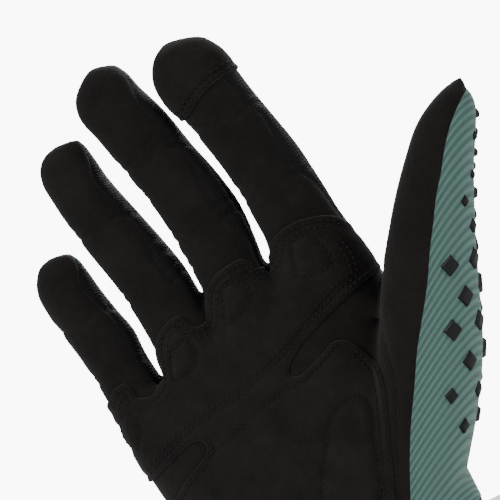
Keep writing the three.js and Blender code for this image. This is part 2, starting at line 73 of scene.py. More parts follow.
# Fingers: web end of the axis as shares of the palm, real sizes, and the sections as
# (share of the length, left, right, deep), each a share of the half width or the half depth.
FINGERS = [
    {
        "name": "pinky", "across": 0.092, "along": 0.73, "length": 59, "width": 18.4,
        "depth": 17.5, "lean": 1.5, "curl": 7, "roll": 12,
        "sections": [
            (-0.3, 0.96, 1.2, 1.3), (0, 0.94, 1.2, 1.2), (0.13, 0.93, 1.1, 1.1),
            (0.32, 0.93, 1.04, 1.04), (0.45, 0.97, 1.12, 1.02), (0.58, 1.05, 0.98, 1),
            (0.75, 1.11, 0.85, 1), (0.86, 1.03, 0.82, 0.94), (0.94, 0.72, 0.72, 0.74),
            (0.98, 0.42, 0.5, 0.44), (1, 0.03, 0.03, 0.03),
        ],
    },
    {
        "name": "ring", "across": 0.35, "along": 0.854, "length": 76.5, "width": 21.6,
        "depth": 19.5, "lean": 6.7, "curl": 9, "roll": 12,
        "sections": [
            (-0.35, 1.18, 1.08, 1.25), (-0.07, 1.24, 1.06, 1.2), (0.04, 1.1, 0.92, 1.12),
            (0.2, 0.96, 1, 1.04), (0.32, 0.94, 1.05, 1), (0.46, 0.98, 0.97, 0.98),
            (0.6, 1.04, 0.84, 1), (0.8, 1.02, 0.68, 0.98), (0.9, 0.93, 0.7, 0.88),
            (0.96, 0.66, 0.68, 0.62), (0.985, 0.4, 0.58, 0.36), (1, 0.03, 0.03, 0.03),
        ],
    },
    {
        "name": "middle", "across": 0.585, "along": 0.917, "length": 86, "width": 23,
        "depth": 20.5, "lean": 7.1, "curl": 9, "roll": 12,
        "sections": [
            (-0.35, 1.1, 1.08, 1.2), (0, 1.24, 1, 1.18), (0.08, 0.98, 0.92, 1.1),
            (0.2, 0.85, 1.1, 1.04), (0.33, 0.78, 1.24, 1), (0.46, 0.76, 1.2, 1),
            (0.58, 0.83, 1.08, 0.98), (0.76, 0.98, 0.95, 1), (0.87, 1.04, 0.76, 0.94),
            (0.94, 0.74, 0.68, 0.72), (0.98, 0.3, 0.46, 0.4), (1, 0.03, 0.03, 0.03),
        ],
    },
    {
        "name": "index", "across": 0.858, "along": 0.958, "length": 77, "width": 23.6,
        "depth": 20.5, "lean": 9, "curl": 7, "roll": 12,
        "sections": [
            (-0.35, 1.12, 1.12, 1.2), (-0.02, 1.34, 1.13, 1.16), (0.08, 1.02, 1.13, 1.08),
            (0.24, 0.83, 1.2, 1.02), (0.42, 0.74, 1.24, 1), (0.56, 0.75, 1.18, 0.98),
            (0.7, 0.83, 1.12, 1), (0.82, 0.92, 1.1, 0.98), (0.91, 0.74, 0.98, 0.82),
            (0.965, 0.42, 0.68, 0.54), (1, 0.03, 0.03, 0.03),
        ],
    },
]

# Palm rings: left x, left z, right x, right z, front depth, back depth, all shares.
WRIST_LEFT = 0.5 + (-WRIST_WIDTH / 2 - PALM_OFFSET) / PALM_WIDTH
WRIST_RIGHT = 0.5 + (WRIST_WIDTH / 2 - PALM_OFFSET) / PALM_WIDTH
PALM_RINGS = [
    (WRIST_LEFT, -0.12, WRIST_RIGHT, -0.12, 1.22, 1.24),
    (0.1, 0.15, 0.955, 0.15, 1.24, 1.18),
    (0.04, 0.3, 0.965, 0.3, 1.2, 1.12),
    (0.012, 0.47, 0.975, 0.47, 1.12, 1.06),
    (0, 0.6, 0.985, 0.63, 1.02, 1),
    (0, 0.7, 1, 0.8, 0.9, 0.9),
    (0.02, 0.77, 0.99, 0.93, 0.74, 0.76),
]

# Thumb rings: centre x and z, reach forward, and the half extents to the pad, back and sides.
THUMB_WIDTH = 26
THUMB_REACH = 32
THUMB_RINGS = [
    (0.72, 0.02, 0.06, 0.5, 0.5, 0.5),
    (0.84, 0.2, 0.16, 0.58, 0.56, 0.58),
    (0.955, 0.36, 0.27, 0.6, 0.61, 0.59),
    (1.06, 0.51, 0.38, 0.62, 0.61, 0.55),
    (1.15, 0.67, 0.53, 0.6, 0.58, 0.5),
    (1.23, 0.795, 0.68, 0.53, 0.52, 0.46),
    (1.31, 0.91, 0.81, 0.47, 0.46, 0.43),
    (1.39, 1.02, 0.92, 0.38, 0.4, 0.41),
    (1.455, 1.095, 0.98, 0.32, 0.35, 0.37),
    (1.525, 1.165, 1, 0.18, 0.24, 0.26),
    (1.572, 1.212, 1.01, 0.01, 0.01, 0.01),
]

# Feature lines in the camera's plane, in millimetres.
THUMB_SEAM = [
    (104, 176), (99, 164), (97, 160.5), (91.5, 156.5), (86, 152), (80.5, 146), (76, 140),
    (71, 134), (66.5, 127.5), (61.5, 120.5), (56, 112), (48.5, 102), (43.5, 95.5), (37, 85.5),
    (30, 75), (25, 66.5), (19, 55), (12, 40), (4, 10),
]
CREASE_SEAM = [
    (46.5, 200), (46.5, 128), (44.5, 121), (41, 117), (37.5, 110), (35.5, 103), (34, 95),
    (30, 84), (25, 75), (19, 62), (12, 48), (5, 30), (0, 10),
]
STRIP_SEAMS = {
    "index": [
        (30, 206), (32.5, 199), (32.7, 192.5), (33, 188.5), (35.5, 183.5), (38, 178.5),
        (37.8, 174), (36.9, 167.5), (37, 163.5), (39.5, 158), (41, 153), (42.5, 147),
        (43.5, 140),
    ],
    "middle": [
        (0, 220), (2.6, 218), (5, 211.5), (5.8, 205.5), (5.5, 198.5), (6, 190.5), (9, 182.5),
        (8.6, 174.5), (8.9, 166), (12, 157.5), (13.1, 150), (13.6, 143.5),
    ],
    "ring": [
        (-20, 206), (-17.6, 203.4), (-16.6, 197), (-18.4, 188.5), (-19.8, 183), (-17.8, 177),
        (-15.4, 171.5), (-15.2, 165), (-15.9, 161), (-15.4, 154.5), (-13, 147.5),
        (-11.5, 141), (-11, 137.5),
    ],
    "pinky": [
        (-40, 176), (-37.7, 173.5), (-36.8, 165), (-37, 157.5), (-35, 148), (-35.4, 141),
        (-36.3, 135), (-35, 128.5), (-34.8, 125.5),
    ],
}
OVERLAY = [
    (-62, 122, 1), (-51.5, 124, 1), (-48.5, 127.5, 0), (-45, 129.5, 0), (-42, 129, 0),
    (-41, 126.5, 0), (-41, 124, 0), (-37.5, 121.7, 0), (-33, 123.5, 0), (-30, 129.5, 0),
    (-28, 135, 0), (-26, 137.5, 0), (-20.5, 140, 0), (-17.5, 140, 0), (-16.3, 136.7, 0),
    (-14.5, 134.2, 0), (-11, 134.2, 0), (-8.5, 138, 0), (-6.5, 141.5, 0), (-3, 144.8, 0),
    (3, 146.2, 0), (8.3, 146, 0), (9.8, 144.5, 0), (10.3, 141.8, 0), (13, 140.8, 0),
    (17, 143, 0), (19.5, 146.5, 0), (23, 147.8, 0), (33.5, 147.2, 0), (40, 144, 0),
    (43.5, 139, 0), (54, 134, 1), (54, 124.5, 1), (42, 122.2, 0), (30, 119.5, 0),
    (17.5, 115.8, 0), (8.5, 111.8, 0), (5, 109, 0), (4.4, 107, 0), (6.3, 105.4, 0),
    (10, 106, 0), (16.5, 108, 0), (21.5, 109.6, 0), (25, 108, 0), (28, 103, 0),
    (30.2, 96.5, 0), (29, 90, 0), (25.7, 81.7, 0), (20, 69, 0), (14.6, 57.5, 0),
    (9, 44, 1), (-62, 44, 1), (-62, 88, 1), (-45.2, 90.2, 0), (-40, 93.4, 0),
    (-35.6, 95.2, 0), (-31.6, 97, 0), (-29.3, 99.4, 0), (-29.4, 101.5, 0), (-32.3, 102.6, 0),
    (-36.8, 102, 0), (-42.5, 100.2, 0), (-62, 95, 1),
]
PADS = {
    "index": [(25.3, 142.9), (30, 142.8), (32.2, 138), (32.5, 131), (26.4, 131),
              (21.7, 132.6), (22.8, 138.2)],
    "middle": [(-0.7, 140.6), (3, 141), (5.5, 138), (5.3, 134), (2.5, 131.3), (-4.8, 130.5),
               (-3.5, 135.3)],
    "ring": [(-23.6, 131), (-19, 132), (-17.8, 128), (-19.5, 124), (-27.8, 122)],
    "pinky": [(-45.7, 120.7), (-44.2, 116), (-45.8, 111.6), (-48.6, 109), (-50.5, 113),
              (-49, 119)],
    "thenar": [(21.8, 88.6), (20.3, 90.8), (15.2, 91.5), (8.7, 88.2), (3.6, 81.4),
               (-1, 75.6), (-4.7, 69), (-8, 58), (-9, 50), (6, 50), (11, 60), (18, 76)],
}
ACROSS_LINE = [
    (-49.3, 100.5), (-40.4, 103.9), (-32.2, 106.3), (-21.2, 107.8), (-10.1, 109.4),
    (-0.5, 111.7), (4.4, 113.2), (10.4, 115.4), (19.9, 119.2), (31.1, 123.4), (38, 125),
    (38.9, 128), (39, 132.8), (37.9, 138.2),
]
LOWER_LINE = [(-30.8, 96.6), (-26.9, 97.2), (-19.9, 98.9), (-10.8, 101.6), (-3.3, 102.9),
              (3.8, 103.2), (9.2, 103)]
CAP_EDGE = [
    (8, 190), (12.8, 192.6), (15, 193.2), (19.2, 195.9), (23.8, 197.7), (29.4, 198.9),
    (33.8, 199), (36.3, 198.5), (42, 197.5),
]

# Rubber diamonds: place from the thumb's tip as a share, size, and columns in degrees.
DOT_LENGTH = 7
DOT_WIDTH = 5.8
DOT_HEIGHT = 1
WIDE_COLUMNS = (17, 59, 101, 143)
STAGGERED_COLUMNS = (38, 80, 122)
COLUMN_TURN = 16
DOT_ROWS = [
    (0.062, 0.38, (80,)), (0.105, 0.38, (59, 101)), (0.147, 0.38, (80, 122)),
    (0.19, 0.4, (59, 101)), (0.24, 0.52, STAGGERED_COLUMNS), (0.3, 0.66, (59, 101, 143)),
    (0.373, 1, WIDE_COLUMNS), (0.447, 1, STAGGERED_COLUMNS), (0.522, 1, WIDE_COLUMNS),
    (0.594, 0.95, STAGGERED_COLUMNS), (0.664, 0.75, WIDE_COLUMNS),
    (0.735, 0.75, STAGGERED_COLUMNS),
]


def palm_x(share):
    return PALM_OFFSET + (share - 0.5) * PALM_WIDTH


def palm_z(share):
    return CUFF_LENGTH + share * PALM_LENGTH


def ramp(x, low, high):
    t = np.clip((x - low) / (high - low), 0, 1)
    return t * t * (3 - 2 * t)


def smooth_table(keys, rows, at):
    """Values between a table's rows, on a smooth curve through them."""
    keys = np.array(keys, float)
    rows = np.array(rows, float)
    slopes = np.gradient(rows, keys, axis=0)
    i = np.clip(np.searchsorted(keys, at) - 1, 0, len(keys) - 2)
    h = (keys[i + 1] - keys[i])[:, None]
    t = ((at - keys[i])[:, None]) / h
    a = (1 + 2 * t) * (1 - t) ** 2
    b = t * (1 - t) ** 2
    c = t * t * (3 - 2 * t)
    d = t * t * (t - 1)
    return a * rows[i] + b * h * slopes[i] + c * rows[i + 1] + d * h * slopes[i + 1]


def smooth_line(points, step=0.5, closed=False, corners=None):
    """A polyline close to evenly spaced along a smooth curve through points."""
    points = np.array(points, float)
    if corners is not None and any(corners):
        n = len(points)
        marks = [i for i in range(n) if corners[i]]
        runs = []
        for k, start in enumerate(marks):
            end = marks[(k + 1) % len(marks)]
            count = (end - start) % n
            run = points[[(start + j) % n for j in range(count + 1)]]
            runs.append(smooth_line(run, step)[:-1])
        return np.concatenate(runs)
    if closed:
        points = np.vstack([points[-3:], points, points[:4]])
    keys = np.concatenate([[0], np.cumsum(np.linalg.norm(np.diff(points, axis=0), axis=1))])
    if closed:
        at = np.arange(keys[3], keys[-4], step)
    else:
        at = np.linspace(0, keys[-1], max(2, int(keys[-1] / step)))
    return smooth_table(keys, points, at)


def superellipse(count, left, right, front, back, power):
    """Ring points across and up, with its own half extent on each of the four sides."""
    angle = np.arange(count) / count * 2 * math.pi
    c, s = np.cos(angle), np.sin(angle)
    a = np.sign(c) * np.abs(c) ** (2 / power)
    b = np.sign(s) * np.abs(s) ** (2 / power)
    x = np.where(a > 0, a * right[:, None], a * left[:, None])
    y = np.where(b > 0, b * back[:, None], b * front[:, None])
    return x, y


def tube(centres, out, up, extents, count=56, power=2.3):
    """A closed tube over rings: extents is left, right, front, back for each ring."""
    x, y = superellipse(count, *extents.T, power)
    rings = centres[:, None] + out[:, None] * x[..., None] + up[:, None] * y[..., None]
    n = len(rings)
    points = np.vstack([rings.reshape(-1, 3), rings[0].mean(0), rings[-1].mean(0)])
    faces = []
    for r in range(n - 1):
        for i in range(count):
            j = (i + 1) % count
            low, high = r * count, (r + 1) * count
            faces.append((low + i, low + j, high + j, high + i))
    last = (n - 1) * count
    for i in range(count):
        j = (i + 1) % count
        faces.append((n * count, j, i))
        faces.append((n * count + 1, last + i, last + j))
    return points, faces


def finger_centre(finger, share):
    bend = np.maximum(share, 0) ** 1.7
    x = palm_x(finger["across"]) - finger["lean"] * share
    z = palm_z(finger["along"]) + finger["length"] * share
    return np.stack([x, -finger["curl"] * bend, z], -1)


def finger_tube(finger):
    rows = np.array(finger["sections"])
    at = np.concatenate([np.linspace(rows[0, 0], 0.9, 70), np.linspace(0.905, 1, 26)])
    size = np.maximum(smooth_table(rows[:, 0], rows[:, 1:], at), 0.02)
    wide, deep = finger["width"] / 2, finger["depth"] / 2
    extents = np.stack([size[:, 0] * wide, size[:, 1] * wide, size[:, 2] * deep, size[:, 2] * deep], 1)
    out = np.tile([1.0, 0, 0], (len(at), 1))
    up = np.tile([0, 1.0, 0], (len(at), 1))
    return tube(finger_centre(finger, at), out, up, extents)


def palm_tube():
    rows = np.array(PALM_RINGS)
    size = smooth_table(np.arange(len(rows)), rows, np.linspace(0, len(rows) - 1, 60))
    left = np.stack([palm_x(size[:, 0]), 0 * size[:, 0], palm_z(size[:, 1])], 1)
    right = np.stack([palm_x(size[:, 2]), 0 * size[:, 0], palm_z(size[:, 3])], 1)
    half = np.linalg.norm(right - left, axis=1) / 2
    deep = size[:, 4:] * PALM_DEPTH / 2
    extents = np.stack([half, half, deep[:, 0], deep[:, 1]], 1)
    up = np.tile([0, 1.0, 0], (len(size), 1))
    return tube((left + right) / 2, (right - left) / (2 * half[:, None]), up, extents, 110, 2.5)


def thumb_path(at):
    rows = np.array(THUMB_RINGS)
    size = smooth_table(np.arange(len(rows)), rows, at)
    centres = np.stack([palm_x(size[:, 0]), -size[:, 2] * THUMB_REACH, palm_z(size[:, 1])], 1)
    return centres, size[:, 3:] * THUMB_WIDTH


def thumb_axes(centres):
    along = np.gradient(centres, axis=0)
    along /= np.linalg.norm(along, axis=1)[:, None]
    side = np.array([0, 1.0, 0]) - along * along[:, 1:2]
    side /= np.linalg.norm(side, axis=1)[:, None]
    return along, side, np.cross(side, along)


def thumb_tube():
    centres, size = thumb_path(np.linspace(0, len(THUMB_RINGS) - 1, 100))
    along, side, out = thumb_axes(centres)
    size = np.maximum(size, 0.2)
    extents = np.stack([size[:, 0], size[:, 1], size[:, 2], size[:, 2]], 1)
    return tube(centres, out, side, extents, 60, 2.2)


def new_object(name, points, faces, smooth=True):
    mesh = bpy.data.meshes.new(name)
    mesh.from_pydata((np.asarray(points) / 1000).tolist(), [], [tuple(f) for f in faces])
    mesh.update()
    if smooth:
        mesh.shade_smooth()
    obj = bpy.data.objects.new(name, mesh)
    bpy.context.scene.collection.objects.link(obj)
    return obj


def joined_skin():
    """All tubes as one smooth outer surface, in triangles."""
    points, faces, base = [], [], 0
    for p, f in [palm_tube(), thumb_tube()] + [finger_tube(f) for f in FINGERS]:
        points.append(p)
        faces += [tuple(i + base for i in face) for face in f]
        base += len(p)
    obj = new_object("skin_source", np.vstack(points), faces)
    remesh = obj.modifiers.new("remesh", "REMESH")
    remesh.mode = "VOXEL"
    remesh.voxel_size = VOXEL / 1000
    even = obj.modifiers.new("even", "SMOOTH")
    even.iterations = 8
    even.factor = 0.5
    obj.modifiers.new("triangles", "TRIANGULATE")
    evaluated = obj.evaluated_get(bpy.context.evaluated_depsgraph_get())
    mesh = evaluated.to_mesh()
    p = np.empty(len(mesh.vertices) * 3)
    mesh.vertices.foreach_get("co", p)
    f = np.empty(len(mesh.polygons) * 3, np.int32)
    mesh.polygons.foreach_get("vertices", f)
    evaluated.to_mesh_clear()
    bpy.data.objects.remove(obj)
    return p.reshape(-1, 3) * 1000, f.reshape(-1, 3)


def normals(p, f):
    n = np.cross(p[f[:, 1]] - p[f[:, 0]], p[f[:, 2]] - p[f[:, 0]])
    out = np.zeros_like(p)
    for k in range(3):
        np.add.at(out, f[:, k], n)
    return out / np.maximum(np.linalg.norm(out, axis=1)[:, None], 1e-9)


def in_plane(p):
    """Where the camera sees points, in its plane."""
    rel = p - CENTRE
    scale = DISTANCE / (DISTANCE - rel @ TOWARDS)
    return np.stack([CENTRE_X + (rel @ RIGHT) * scale, CENTRE_Z + rel[:, 2] * scale], 1)


def to_line(q, line, closed=False):
    """Distance from points to a polyline, and the side they are on, positive on its left."""
    a = np.array(line, float)
    b = np.roll(a, -1, axis=0)
    if not closed:
        a, b = a[:-1], b[:-1]
    d = b - a
    length = np.maximum((d**2).sum(1), 1e-12)
    best = np.full(len(q), 1e9)
    side = np.zeros(len(q))
    for i in range(len(a)):
        rel = q - a[i]
        t = np.clip(rel @ d[i] / length[i], 0, 1)
        gap = rel - t[:, None] * d[i]
        dist = (gap**2).sum(1)
        cross = d[i, 0] * rel[:, 1] - d[i, 1] * rel[:, 0]
        near = dist < best - 1e-9
        best[near] = dist[near]
        side[near] = cross[near]
    return np.sqrt(best) * np.where(side >= 0, 1, -1)


def inside(q, polygon):
    """Distance to a polygon's edge, positive inside."""
    a = np.array(polygon)
    b = np.roll(a, -1, axis=0)
    odd = np.zeros(len(q), bool)
    for i in range(len(a)):
        crosses = (a[i, 1] > q[:, 1]) != (b[i, 1] > q[:, 1])
        rise = b[i, 1] - a[i, 1]
        x = a[i, 0] + (q[:, 1] - a[i, 1]) * (b[i, 0] - a[i, 0]) / (rise if rise else 1e-9)
        odd ^= crosses & (q[:, 0] < x)
    return np.abs(to_line(q, a, True)) * np.where(odd, 1, -1)


def seam_height(x, z, towards):
    share = np.stack([(z - palm_z(f["along"])) / f["length"] for f in FINGERS])
    centre = np.stack([finger_centre(f, np.minimum(s, 1)) for f, s in zip(FINGERS, share)])
    pick = np.abs(centre[..., 0] - x).argmin(0)
    k = np.arange(len(x))
    share, centre = share[pick, k], centre[pick, k]
    width = np.array([f["width"] for f in FINGERS])[pick]
    roll = np.radians([f["roll"] for f in FINGERS])[pick]
    side = np.clip((x - centre[:, 0]) / (width / 2), -1, 1)
    foot = np.where((pick == 3) & (side > 0), ramp(share, -0.12, 0.3), 1)
    foot = np.where((pick == 0) & (side < 0), 0, foot)
    opened = foot * (1 - ramp(share, 0.8, 0.97)) * ramp(share, -0.3, -0.15)
    wave = STRIP_WAVE * np.cos(share * 2 * math.pi * 2.6) * ramp(share, 0, 0.3)
    reach = STRIP_WIDTH / 2 + (wave if towards < 0 else 0)
    turn = np.tan(roll) * side * width / 2 * ramp(share, 0, 0.4)
    return centre[:, 1] * ramp(share, -0.1, 0.2) + towards * opened * reach - turn * opened


def clip(p, f, value):
    """The part of a triangle mesh where value is positive, cut exactly where it is zero."""
    value = np.where(np.abs(value) < 1e-4, 1e-4, value)
    keep = value > 0
    count = keep[f].sum(1)
    whole = f[count == 3]
    edges = {}
    extra = []

    def cross(i, j):
        key = (i, j) if i < j else (j, i)
        if key not in edges:
            a, b = key
            t = value[a] / (value[a] - value[b])
            edges[key] = len(p) + len(extra)
            extra.append(p[a] + (p[b] - p[a]) * t)
        return edges[key]

    made = []
    for tri in f[(count == 1) | (count == 2)].tolist():
        while not (keep[tri[0]] and not keep[tri[2]]):
            tri = tri[1:] + tri[:1]
        a, b, c = tri
        if keep[b]:
            d, e = cross(b, c), cross(a, c)
            made += [(a, b, d), (a, d, e)]
        else:
            d, e = cross(a, b), cross(a, c)
            made.append((a, d, e))
    p = np.vstack([p, np.array(extra).reshape(-1, 3)])
    f = np.vstack([whole, np.array(made, int).reshape(-1, 3)])
    used = np.unique(f)
    index = np.full(len(p), -1)
    index[used] = np.arange(len(used))
    return p[used], index[f]


def finer(p, f):
    """Each triangle cut into four."""
    e = np.sort(np.vstack([f[:, [0, 1]], f[:, [1, 2]], f[:, [2, 0]]]), axis=1)
    unique, back = np.unique(e, axis=0, return_inverse=True)
    back = back.reshape(-1)
    middle = (p[unique[:, 0]] + p[unique[:, 1]]) / 2
    m = len(p) + back.reshape(3, -1).T
    a, b, c = f.T
    x, y, z = m.T
    faces = np.vstack([np.stack(t, 1) for t in ((a, x, z), (x, b, y), (z, y, c), (x, y, z))])
    return np.vstack([p, middle]), faces


def thick(p, f, n, wall, lined=True):
    """A skin given a wall inwards, closed round its edge, with its inner face if it is lined."""
    inner = p - n * wall
    e = np.vstack([f[:, [0, 1]], f[:, [1, 2]], f[:, [2, 0]]])
    code = e[:, 0].astype(np.int64) * (len(p) + 1) + e[:, 1]
    other = e[:, 1].astype(np.int64) * (len(p) + 1) + e[:, 0]
    rim = e[~np.isin(code, other)]
    k = len(p)
    sides = np.vstack([
        np.stack([rim[:, 1], rim[:, 0], rim[:, 0] + k], 1),
        np.stack([rim[:, 1], rim[:, 0] + k, rim[:, 1] + k], 1),
    ])
    if lined:
        return np.vstack([p, inner]), np.vstack([f, f[:, ::-1] + k, sides])
    faces = np.vstack([f, sides])
    used, index = np.unique(faces, return_inverse=True)
    return np.vstack([p, inner])[used], index.reshape(-1, 3)


def piece(name, p, f, material, slot, nodes=()):
    obj = new_object(name, p, f.tolist())
    obj.data.materials.append(material)
    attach(obj, "root")
    if nodes:
        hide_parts(*nodes)
    return obj


# Materials. Each is a shader of its own with a pattern that lies still on the piece.
def shader(name, colour, rough, sheen=0.0, shine=0.2):
    material = bpy.data.materials.new(name)
    material.use_nodes = True
    nodes = material.node_tree.nodes
    base = nodes["Principled BSDF"]
    base.inputs["Base Color"].default_value = (*colour, 1)
    base.inputs["Roughness"].default_value = rough
    base.inputs["Sheen Weight"].default_value = sheen
    base.inputs["Sheen Roughness"].default_value = 0.5
    base.inputs["Specular IOR Level"].default_value = shine
    return material, nodes, material.node_tree.links, base


def noise(nodes, links, scale, detail=3.0, rough=0.55):
    where = nodes.new("ShaderNodeTexCoord")
    node = nodes.new("ShaderNodeTexNoise")
    node.inputs["Scale"].default_value = scale
    node.inputs["Detail"].default_value = detail
    node.inputs["Roughness"].default_value = rough
    links.new(where.outputs["Object"], node.inputs["Vector"])
    return node.outputs["Fac"]


def bands(nodes, links, direction, pitch):
    """A wave from 0 to 1 along a direction."""
    where = nodes.new("ShaderNodeTexCoord")
    dot = nodes.new("ShaderNodeVectorMath")
    dot.operation = "DOT_PRODUCT"
    links.new(where.outputs["Object"], dot.inputs[0])
    dot.inputs[1].default_value = [d * 2 * math.pi * 1000 / pitch for d in direction]
    wave = nodes.new("ShaderNodeMath")
    wave.operation = "SINE"
    links.new(dot.outputs["Value"], wave.inputs[0])
    half = nodes.new("ShaderNodeMath")
    half.operation = "MULTIPLY_ADD"
    links.new(wave.outputs[0], half.inputs[0])
    half.inputs[1].default_value = 0.5
    half.inputs[2].default_value = 0.5
    return half.outputs[0]


def blend(nodes, links, fac, low, high):
    mix = nodes.new("ShaderNodeValToRGB")
    mix.color_ramp.elements[0].color = (*low, 1)
    mix.color_ramp.elements[1].color = (*high, 1)
    mix.color_ramp.elements[0].position = 0.3
    mix.color_ramp.elements[1].position = 0.7
    links.new(fac, mix.inputs[0])
    return mix.outputs[0]


def bump(nodes, links, base, height, strength, distance, below=None):
    node = nodes.new("ShaderNodeBump")
    node.inputs["Strength"].default_value = strength
    node.inputs["Distance"].default_value = distance
    links.new(height, node.inputs["Height"])
    if below is not None:
        links.new(below, node.inputs["Normal"])
    links.new(node.outputs[0], base.inputs["Normal"])
    return node.outputs[0]


def suede_material(name, low, high):
    material, nodes, links, base = shader(name, low, 0.95, 0.06, 0.12)
    cloud = noise(nodes, links, 70, 9, 0.78)
    links.new(blend(nodes, links, cloud, low, high), base.inputs["Base Color"])
    first = bump(nodes, links, base, noise(nodes, links, 1500, 2), 0.35, 0.0003)
    bump(nodes, links, base, noise(nodes, links, 420, 5, 0.7), 0.6, 0.0008, first)
    return material


def knit_material():
    material, nodes, links, base = shader("knit", (0.12, 0.23, 0.2), 0.8, 0.15)
    ribs = bands(nodes, links, (-0.446, 0.25, 0.86), RIB_PITCH)
    colour = blend(nodes, links, ribs, (0.045, 0.095, 0.083), (0.075, 0.15, 0.131))
    links.new(colour, base.inputs["Base Color"])
    first = bump(nodes, links, base, ribs, 0.8, 0.0006)
    bump(nodes, links, base, noise(nodes, links, 2200, 2), 0.3, 0.0003, first)
    return material


def mesh_material():
    material, nodes, links, base = shader("mesh", (0.003, 0.003, 0.004), 0.75, 0.02, 0.15)
    one = bands(nodes, links, (0.7, 0.3, 0.7), 0.8)
    two = bands(nodes, links, (-0.7, 0.3, 0.7), 0.8)
    cells = nodes.new("ShaderNodeMath")
    cells.operation = "MULTIPLY"
    links.new(one, cells.inputs[0])
    links.new(two, cells.inputs[1])
    colour = blend(nodes, links, cells.outputs[0], (0.001, 0.001, 0.0015), (0.006, 0.006, 0.0085))
    links.new(colour, base.inputs["Base Color"])
    bump(nodes, links, base, cells.outputs[0], 0.6, 0.0004)
    return material


def elastic_material():
    material, nodes, links, base = shader("elastic", (0.006, 0.006, 0.007), 0.8, 0.15)
    ribs = bands(nodes, links, (0, 0, 1), 1.6)
    colour = blend(nodes, links, ribs, (0.004, 0.004, 0.0045), (0.012, 0.012, 0.013))
    links.new(colour, base.inputs["Base Color"])
    bump(nodes, links, base, ribs, 0.6, 0.0005)
    return material


def plain_material(name, colour, rough, sheen=0.0):
    material, nodes, links, base = shader(name, colour, rough, sheen)
    bump(nodes, links, base, noise(nodes, links, 1800, 2), 0.15, 0.0002)
    return material


SUEDE = suede_material("suede", (0.0026, 0.0022, 0.002), (0.0095, 0.0076, 0.0066))
OVERLAY_SUEDE = suede_material("overlay_suede", (0.003, 0.0024, 0.0021), (0.0105, 0.0083, 0.0071))
KNIT = knit_material()
MESH = mesh_material()
ELASTIC = elastic_material()
RUBBER = plain_material("rubber", (0.004, 0.004, 0.0042), 0.5)
THREAD = plain_material("thread", (0.0035, 0.0032, 0.003), 0.6)

# The skin of the whole glove, with grooves pressed in along the seams.
skin_p, skin_f = joined_skin()


def right_of(finger, p):
    share = (p[:, 2] - palm_z(finger["along"])) / finger["length"]
    return p[:, 0] - finger_centre(finger, np.minimum(share, 1))[:, 0]


def relaxed(p, f, weight, rounds):
    """Each point moved towards its neighbours' middle, as far as its weight says."""
    e = np.vstack([f[:, [0, 1]], f[:, [1, 2]], f[:, [2, 0]]])
    count = np.bincount(e[:, 0], minlength=len(p))[:, None]
    for _ in range(rounds):
        total = np.stack([np.bincount(e[:, 0], p[e[:, 1], k], len(p)) for k in range(3)], 1)
        p = p + (total / count - p) * weight[:, None]
    return p


on_palm = ramp(150 - skin_p[:, 2], 0, 14) * ramp(-skin_p[:, 1], 4, 8)
skin_p = relaxed(skin_p, skin_f, 0.5 * on_palm, 45)


def strip_side(p, q):
    """How far points lie past the seam on the thumb's side of the finger that they belong to."""
    centres = np.stack([right_of(finger, p) for finger in FINGERS])
    pick = np.abs(centres).argmin(0)
    out = np.full(len(p), -9.0)
    for i, finger in enumerate(FINGERS):
        line = STRIP_SEAMS[finger["name"]]
        mine = (pick == i) & (np.abs(centres[i] / finger["width"] - 0.4) < 0.5)
        mine &= q[:, 1] > line[-1][1]
        out[mine] = to_line(q[mine], smooth_line(line, 1))
    return out


def fields(p):
    q = in_plane(p)
    front = np.maximum(p[:, 1] - seam_height(p[:, 0], p[:, 2], -1), strip_side(p, q))
    back = p[:, 1] - seam_height(p[:, 0], p[:, 2], 1)
    thumb = -to_line(q, smooth_line(THUMB_SEAM, 2))
    crease = -to_line(q, smooth_line(CREASE_SEAM, 2))
    return front, back, thumb, crease


def creases(p):
    """Shallow folds across the fingers at their joints."""
    depth = np.zeros(len(p))
    for finger in FINGERS:
        share = (p[:, 2] - palm_z(finger["along"])) / finger["length"]
        centre = finger_centre(finger, np.clip(share, 0, 1))
        near = ramp(finger["width"] * 0.75 - np.abs(p[:, 0] - centre[:, 0]), 0, 2) * (p[:, 1] < centre[:, 1])
        wobble = 0.012 * np.sin(p[:, 0] * 0.7 + finger["length"])
        for at, deep in ((0.3, 0.5), (0.345, 0.35), (0.62, 0.5), (0.655, 0.3)):
            depth += deep * near * np.exp(-(((share - at - wobble) * finger["length"] / 1.1) ** 2))
    return depth


front, back, thumb, crease = fields(skin_p)
nearest = np.minimum(np.abs(thumb), np.where(thumb > 0, np.minimum(np.abs(front), np.abs(back)), 9))
nearest = np.minimum(nearest, np.where((thumb > 0) & (front < 0), np.abs(crease), 9))
skin_n = normals(skin_p, skin_f)
skin_p = skin_p - skin_n * (0.45 * np.exp(-((nearest / 1.1) ** 2)) + creases(skin_p))[:, None]

GAP = 0.01


def panel(*tests):
    """The skin where every test is positive; a test takes (front, back, thumb, crease, points)."""
    p, f = skin_p, skin_f
    for test in tests:
        p, f = clip(p, f, test(*fields(p), p))
    return p, f


def above_wrist(front, back, thumb, crease, p):
    return p[:, 2] - CUFF_LENGTH - 0.3


def walled(p, f, wall=FABRIC):
    return thick(p, f, normals(p, f), wall)


palm = panel(
    above_wrist,
    lambda front, back, thumb, crease, p: thumb - GAP,
    lambda front, back, thumb, crease, p: -front - GAP,
    lambda front, back, thumb, crease, p: crease - GAP,
)
thumb_front = panel(
    above_wrist,
    lambda front, back, thumb, crease, p: thumb - GAP,
    lambda front, back, thumb, crease, p: -front - GAP,
    lambda front, back, thumb, crease, p: -crease - GAP,
)
hand_back = panel(above_wrist, lambda front, back, thumb, crease, p: np.maximum(back, -thumb) - GAP)
strips = panel(
    above_wrist,
    lambda front, back, thumb, crease, p: thumb - GAP,
    lambda front, back, thumb, crease, p: front - GAP,
    lambda front, back, thumb, crease, p: -back - GAP,
)

